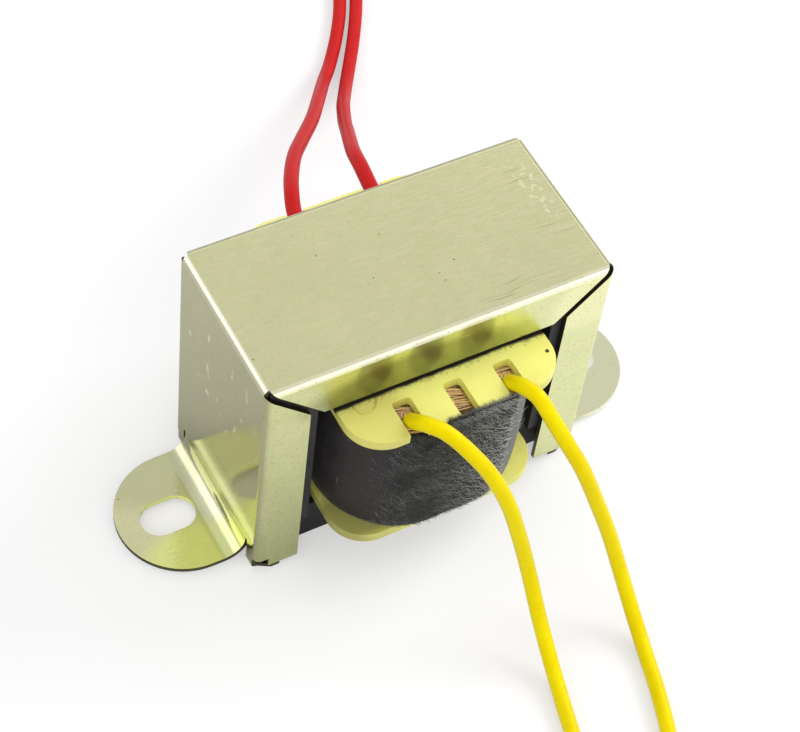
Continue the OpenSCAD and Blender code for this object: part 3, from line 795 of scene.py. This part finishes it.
def wire_turns(name, build_in, build_out, wire_r, rows):
    """The layers of a winding: a plain core below, and single turns of wire on its top rows."""
    parts = []
    layers = max(1, int((build_out - build_in) / (2 * wire_r)))
    rng = random.Random(name)
    pitch = 2 * wire_r
    for layer in range(layers):
        build = build_in + wire_r + layer * (build_out - build_in - 2 * wire_r) / max(1, layers - 1)
        for row in range(rows):
            height = WIND_Z1 - wire_r - row * pitch - rng.random() * 0.05
            outline = wound_outline(build, 96)
            phase = rng.random() * 7
            line = [
                (x, y, height + 0.04 * math.sin(phase + 5 * i / 96 * math.tau))
                for i, (x, y) in enumerate(outline)
            ]
            parts.append(
                tube(name, line + line[:1], wire_r * 0.98, sides=8, closed_ends=False))
    core_top = WIND_Z1 - rows * pitch + wire_r * 0.6
    inner, outer = wound_outline(build_in, 96), wound_outline(build_out, 96)
    points = [(x, y, z) for z in (WIND_Z0, core_top) for x, y in inner]
    points += [(x, y, z) for z in (WIND_Z0, core_top) for x, y in outer]
    faces = []
    for i in range(96):
        j = (i + 1) % 96
        faces += [(i, i + 96, j + 96, j), (192 + i, 192 + j, 288 + j, 288 + i),
                  (96 + i, 288 + i, 288 + j, 96 + j), (i, j, 192 + j, 192 + i)]
    parts.append((points, faces))
    return joined(parts)


def crossing_wires(notch):
    """The wires that cross on top of the winding, seen through a front notch."""
    rng = random.Random(notch)
    parts = []
    for k in range(11):
        radius = rng.uniform(0.09, 0.15)
        middle = Vector((notch, -12.2 - 0.31 * k, WIND_Z1 + 0.16 + 0.08 * (k % 2)))
        lean = Vector((1, rng.uniform(-0.6, -0.05), rng.uniform(-0.05, 0.05)))
        line = [middle + lean * across - Vector((0, 0, 0.012 * across * across))
                for across in (-1.3, -0.8, -0.3, 0.3, 0.8, 1.3)]
        parts.append(tube("crossing_wire", line, radius, sides=8))
    return parts


def twisted_tail(notch, edge, side, name):
    """Two bare wires twisted together, from the winding up through the notch to the lead."""
    start = lead_route(name)[0]
    rng = random.Random(name)
    inner = Vector((notch - 0.15, side * (edge - 4.1), WIND_Z1 - 0.1))
    middle = Vector((notch + 0.05, side * (edge - 3.1), WIND_Z1 + 0.5))
    parts = []
    for k in range(2):
        line = []
        for i in range(25):
            t = i / 24
            a, b = inner.lerp(middle, t), middle.lerp(start, t)
            centre = a.lerp(b, t)
            turn = math.tau * (k / 2 + 1.6 * t)
            reach = 0.2
            line.append(centre + Vector((reach * math.cos(turn), 0.06 * rng.random(),
                                         reach * math.sin(turn))))
        parts.append(tube(name, line, 0.19, sides=8))
    return joined(parts)


TAPE_LEVELS = 40


def woven_share(x, y, z):
    """How far the tape's fuzzy outer turn covers a place: its end stands at the front right."""
    if y > 4:
        return 1.0
    end = 6.5 + 0.5 * noise.noise(Vector((x * 0.1, 0, z * 1.3)))
    start = -9.5 + 1.5 * noise.noise(Vector((0, 3, z * 0.5)))
    return min(1.0, max(0.0, (x - start) / 3)) * (1.0 if x < end else 0.0)


def tape_shell():
    """The cloth tape as a bellied shell with a turned-in top and bottom, in millimetres."""
    count = 320
    points, faces = [], []
    outer, inner = wound_outline(TAPE_BUILD, count), wound_outline(TAPE_INSIDE, count)
    for level in range(TAPE_LEVELS):
        t = level / (TAPE_LEVELS - 1)
        z = WIND_Z0 + t * (WIND_Z1 - WIND_Z0)
        belly = 0.3 * (1 - abs(2 * t - 1) ** 2.2) - 0.12 * (abs(2 * t - 1) ** 8)
        for i, (x, y) in enumerate(outer):
            x0, y0 = outer[i - 1]
            x1, y1 = outer[(i + 1) % count]
            out = Vector((y1 - y0, x0 - x1, 0)).normalized()
            ripple = 0.06 * (noise.noise(Vector((x, y, z)) * 0.35) - 0.6)
            ripple += 0.035 * noise.noise(Vector((x, y, z * 1.6)) * 1.6)
            step = 0.13 * (woven_share(x, y, z) - 1)
            points.append(Vector((x, y, z)) + out * (belly + ripple + step))
    for level in range(TAPE_LEVELS - 1):
        for i in range(count):
            a, b = level * count + i, level * count + (i + 1) % count
            faces.append((a, b, b + count, a + count))
    base = len(points)
    points += [Vector((x, y, WIND_Z0)) for x, y in inner]
    points += [Vector((x, y, WIND_Z1)) for x, y in inner]
    top = (TAPE_LEVELS - 1) * count
    for i in range(count):
        j = (i + 1) % count
        faces.append((base + i, base + j, j, i))
        faces.append((top + i, top + j, base + count + j, base + count + i))
        faces.append((base + count + i, base + count + j, base + j, base + i))
    return points, faces


def tape_lap():
    """The strip of tape that stands up over the front edge of the flange."""
    columns, rows = 28, 8
    points, faces = [], []
    for side in (0, 1):
        for i in range(columns + 1):
            x = LAP_FROM + (LAP_TO - LAP_FROM) * i / columns
            for j in range(rows + 1):
                t = j / rows
                z = LAP_FOOT + (FLANGE_TOP - LAP_FOOT) * t
                y = LAP_FRONT + 0.08 * abs(noise.noise(Vector((x, z, 0)) * 0.8))
                if side:
                    y = LAP_BACK
                points.append(Vector((x, y, z)))
    per = rows + 1
    half = (columns + 1) * per
    for i in range(columns):
        for j in range(rows):
            a = i * per + j
            faces.append((a, a + per, a + per + 1, a + 1))
            faces.append((half + a, half + a + 1, half + a + per + 1, half + a + per))
    for i in range(columns):
        a = i * per
        faces.append((a, half + a, half + a + per, a + per))
        b = a + rows
        faces.append((b, b + per, half + b + per, half + b))
    for j in range(rows):
        faces.append((j, j + 1, half + j + 1, half + j))
        c = columns * per + j
        faces.append((c, half + c, half + c + 1, c + 1))
    return points, faces


def frayed_edge():
    """Loose threads of the lap's top edge, lying back over the flange, in millimetres."""
    rng = random.Random(5)
    parts = []
    for _ in range(340):
        start = Vector((rng.uniform(LAP_FROM, LAP_TO), LAP_FRONT + 0.1,
                        FLANGE_TOP - rng.uniform(0.02, 0.3)))
        tuft = 0.6 + 0.5 * noise.noise(Vector((start.x * 1.7, 0, 0)))
        reach = rng.uniform(0.3, 1.0) * tuft
        lean = rng.uniform(-0.7, 0.5) * reach
        rise = rng.uniform(0.05, 0.3)
        line = [start, start + Vector((0.3 * lean, 0.25 * reach, 0.3 + rise)),
                start + Vector((lean, reach, 0.32 + rise * rng.uniform(0.2, 1)))]
        parts.append(tube("thread", line, [0.025, 0.02, 0.006], sides=3, closed_ends=False))
    return joined(parts)


def tape_mesh():
    """The tape and its lap, with the shares that the fibres and the cloth material read."""
    shell_points, shell_faces = tape_shell()
    lap_points, lap_faces = tape_lap()
    cloth_size = len(shell_points) + len(lap_points)
    points, faces = joined([(shell_points, shell_faces), (lap_points, lap_faces),
                            frayed_edge()])
    mesh = mesh_from("cloth_tape", points, faces)
    woven = mesh.attributes.new("woven", "FLOAT", "POINT").data
    shaggy = mesh.attributes.new("shaggy", "FLOAT", "POINT").data
    loose = mesh.attributes.new("loose", "FLOAT", "POINT").data
    for i, point in enumerate(points):
        x, y, z = point
        if i >= cloth_size:
            woven[i].value, loose[i].value = 1.0, 0.45
            continue
        on_lap = i >= len(shell_points)
        woven[i].value = 1.0 if on_lap else woven_share(x, y, z)
        rim = max(0.0, 1 - (z - WIND_Z0) / 1.2) + (1.5 if on_lap and z > 26.4 else 0.0)
        seen = 1.0 if y < -8 else (0.4 if z < 23 else 0.0)
        shaggy[i].value = (0.03 + 0.97 * woven[i].value) * seen * (1 + 1.5 * rim)
    return mesh


def build_fibre_nodes():
    """Geometry nodes that cover a surface with short, mostly lying hairs."""
    tree = bpy.data.node_groups.new("loose_fibres", "GeometryNodeTree")
    for label, kind in (("Geometry", "Geometry"), ("Density", "Float"), ("Length", "Float"),
                        ("Thickness", "Float"), ("Seed", "Int"), ("Material", "Material")):
        tree.interface.new_socket(label, in_out="INPUT", socket_type="NodeSocket" + kind)
    tree.interface.new_socket("Geometry", in_out="OUTPUT", socket_type="NodeSocketGeometry")
    t = Tree(tree)
    given = t.add("NodeGroupInput").outputs

    def chance(low, high, salt):
        seed = t.math("ADD", given["Seed"], float(salt))
        return t.add("FunctionNodeRandomValue", {2: low, 3: high, "Seed": seed},
                     data_type="FLOAT").outputs[1]

    shaggy = t.add("GeometryNodeInputNamedAttribute", {"Name": "shaggy"},
                   data_type="FLOAT").outputs["Attribute"]
    spots = t.add("GeometryNodeDistributePointsOnFaces", {
        "Mesh": given["Geometry"], "Density": t.math("MULTIPLY", given["Density"], shaggy),
        "Seed": given["Seed"]}).outputs
    hair = t.add("GeometryNodeMeshCone", {
        "Vertices": 3, "Side Segments": 2, "Radius Bottom": given["Thickness"],
        "Radius Top": t.math("MULTIPLY", given["Thickness"], 0.3), "Depth": given["Length"]},
        fill_type="NONE").outputs["Mesh"]
    place = t.add("GeometryNodeInputPosition").outputs[0]
    height = t.add("ShaderNodeSeparateXYZ", {0: place}).outputs["Z"]
    curl = t.math("DIVIDE", t.math("MULTIPLY", height, height), given["Length"])
    lean = t.add("ShaderNodeCombineXYZ", {"X": t.math("MULTIPLY", curl, 0.55)}).outputs[0]
    hair = t.add("GeometryNodeSetPosition", {"Geometry": hair, "Offset": lean}).outputs[0]
    hair = t.add("GeometryNodeStoreNamedAttribute", {
        "Geometry": hair, "Name": "loose", "Value": 1.0}, data_type="FLOAT",
        domain="POINT").outputs[0]
    turn = t.add("ShaderNodeCombineXYZ", {
        "X": chance(1.0, 1.54, 1), "Z": chance(-0.2, 1.3, 2)}).outputs[0]
    turn = t.add("FunctionNodeEulerToRotation", {0: turn}).outputs[0]
    turn = t.add("FunctionNodeRotateRotation", {0: spots["Rotation"], 1: turn},
                 rotation_space="LOCAL").outputs[0]
    hairs = t.add("GeometryNodeInstanceOnPoints", {
        "Points": spots["Points"], "Instance": hair, "Rotation": turn,
        "Scale": chance(0.35, 1.5, 3)}).outputs[0]
    hairs = t.add("GeometryNodeRealizeInstances", {0: hairs}).outputs[0]
    whole = t.add("GeometryNodeJoinGeometry")
    for part in (hairs, given["Geometry"]):
        tree.links.new(part, whole.inputs[0])
    whole = t.add("GeometryNodeSetMaterial", {
        "Geometry": whole.outputs[0], "Material": given["Material"]}).outputs[0]
    tree.links.new(whole, t.add("NodeGroupOutput").inputs[0])
    return tree


def with_fibres(mesh, **settings):
    """The mesh with its hairs, as a plain mesh."""
    carrier = bpy.data.objects.new("carrier", mesh)
    scene.collection.objects.link(carrier)
    modifier = carrier.modifiers.new("fibres", "NODES")
    modifier.node_group = build_fibre_nodes()
    for item in modifier.node_group.interface.items_tree:
        if item.item_type == "SOCKET" and item.name in settings:
            modifier[item.identifier] = settings[item.name]
    bpy.context.view_layer.update()
    graph = bpy.context.evaluated_depsgraph_get()
    result = bpy.data.meshes.new_from_object(carrier.evaluated_get(graph))
    carrier.modifiers.remove(modifier)
    bpy.data.objects.remove(carrier)
    return result


# ---------------------------------------------------------------- pieces

pieces = {}
frame_mesh = softened_copy("channel_frame", 0.07)
mark_sheet(frame_mesh)
pieces["folded_frame"] = new_piece("folded_frame", frame_mesh)
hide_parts("channel_frame")

bobbin_mesh = softened_copy("bobbin", 0.3, segments=3)
for vertex in bobbin_mesh.vertices:
    if vertex.co.z > 25.9 * MM and vertex.co.y > 12 * MM:
        vertex.co.y -= 0.2 * MM
bobbin_mesh = with_part(bobbin_mesh, tube("whisker", [
    (-10.7, -10.75, 27.4), (-10.85, -11.2, 27.42), (-10.65, -11.9, 27.4), (-10.3, -12.35, 27.44),
    (-9.8, -12.5, 27.42), (-9.1, -12.4, 27.4), (-8.6, -12.05, 27.43), (-8.2, -11.4, 27.4),
    (-8.1, -10.8, 27.38),
], 0.06, sides=6))
pieces["moulded_bobbin"] = new_piece("moulded_bobbin", bobbin_mesh)
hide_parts("bobbin")

pieces["primary_wire"] = new_piece(
    "primary_wire",
    mesh_from("primary_wire", *wire_turns("primary_wire", 0, PRIMARY_BUILD, 0.13, 3)),
)
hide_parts("primary_winding")
pieces["secondary_wire"] = new_piece(
    "secondary_wire",
    mesh_from("secondary_wire", *joined(
        [wire_turns("secondary_wire", WRAP_BUILD, SECONDARY_BUILD, 0.25, 3)]
        + [wire for notch in FRONT_NOTCHES for wire in crossing_wires(notch)])),
)
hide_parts("secondary_winding")

for lead_name, (notch, edge, side) in LEAD_STARTS.items():
    tail = new_piece(
        lead_name.replace("lead", "copper_tail"),
        mesh_from("copper_tail", *twisted_tail(notch, edge, side, lead_name)),
    )
    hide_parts(lead_name.replace("lead", "joint"))
    pieces[tail.name] = tail

pieces["cloth_tape"] = new_piece(
    "cloth_tape",
    with_fibres(tape_mesh(), Density=8.4 / MM ** 2, Length=0.68 * MM, Thickness=0.022 * MM,
                Seed=11, Material=MATERIALS["cloth_tape"]),
)
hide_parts("outer_tape")


# ---------------------------------------------------------------- materials on the pieces

SLOTS = {s["node"]: s["material_slot"] for s in frame["record"]["subparts"]}
for node_name, node_object in frame["nodes"].items():
    node_object.data.materials.clear()
    node_object.data.materials.append(MATERIALS[SLOTS[node_name]])


def dress(piece, slot):
    piece.data.materials.clear()
    piece.data.materials.append(MATERIALS[slot])


for lead_name, (lead, tips) in leads.items():
    dress(lead, lead_name.split("_")[0] + "_insulation")
    dress(tips, "tinned_copper")
dress(pieces["folded_frame"], "zinc_plate")
dress(pieces["moulded_bobbin"], "bobbin_plastic")
dress(pieces["primary_wire"], "enamelled_copper")
dress(pieces["secondary_wire"], "enamelled_copper")
dress(pieces["cloth_tape"], "cloth_tape")
for piece_name, piece in pieces.items():
    if "copper_tail" in piece_name:
        dress(piece, "bare_copper")


# ---------------------------------------------------------------- floor and lights

def seen_white(t, straight, mirrored):
    """Extra light that only camera rays, and less of it mirror and see-through rays, see."""
    path = t.add("ShaderNodeLightPath").outputs
    other = t.math("MAXIMUM", path["Is Glossy Ray"], path["Is Transmission Ray"])
    return t.math("MAXIMUM", t.math("MULTIPLY", path["Is Camera Ray"], straight),
                  t.math("MULTIPLY", other, mirrored))


def floor():
    mesh = mesh_from("floor", [(-1500, -1500, 0), (1500, -1500, 0), (1500, 1500, 0),
                               (-1500, 1500, 0)], [(0, 1, 2, 3)], smooth=False)
    plane = bpy.data.objects.new("floor", mesh)
    scene.collection.objects.link(plane)
    material, t, shader, place = new_material("pale_floor", (0.9, 0.9, 0.9))
    parts = t.add("ShaderNodeSeparateXYZ", {0: place}).outputs
    # Painted reflection light: mirror rays see the floor glow more towards larger x minus y, so the
    # metal on the right side reflects a brighter floor.
    across = t.math("SUBTRACT", parts["X"], parts["Y"])
    feed(t, shader, base_color=(0.49, 0.485, 0.49, 1), roughness=0.9,
         emission_color=(1, 1, 1, 1),
         emission_strength=seen_white(t, 0.45, t.ramp(across, -0.024, 0.045, 0.0, 0.44)))
    shader.inputs["Specular IOR Level"].default_value = 0.0
    mesh.materials.append(material)


def world():
    sky = bpy.data.worlds.new("studio")
    scene.world = sky
    sky.use_nodes = True
    t = Tree(sky.node_tree)
    back = sky.node_tree.nodes["Background"]
    direction = t.add("ShaderNodeTexCoord").outputs["Generated"]
    parts = t.add("ShaderNodeSeparateXYZ", {0: direction}).outputs
    height = parts["Z"]
    behind = t.ramp(t.math("ADD", parts["X"], parts["Y"]), 0.1, 0.8, 0.0, 1.15)
    behind = t.math("MULTIPLY", behind, t.ramp(height, 0.45, 0.68, 1.0, 0.0))
    level = t.math("SUBTRACT", t.ramp(height, 0.02, 0.2, 1.0, 1.7),
                   t.math("ADD", t.ramp(height, 0.55, 0.76, 0.0, 0.9), behind))
    level = t.math("MAXIMUM", level, 0.35)
    strength = t.math("ADD", level, seen_white(t, 0.4, 0.0))
    sky.node_tree.links.new(strength, back.inputs["Strength"])
    back.inputs["Color"].default_value = (1, 1, 1, 1)


def softbox(name, place, aim, size, power):
    data = bpy.data.lights.new(name, "AREA")
    data.shape = "RECTANGLE"
    data.size, data.size_y = size
    data.energy = power
    lamp = bpy.data.objects.new(name, data)
    lamp.location = place
    lamp.rotation_euler = (Vector(aim) - Vector(place)).to_track_quat("-Z", "Y").to_euler()
    scene.collection.objects.link(lamp)


floor()
world()
softbox("key", (0.5, 0.03, 0.38), (0, 0, 0.015), (0.3, 0.3), 2.0)

bpy.context.view_layer.update()
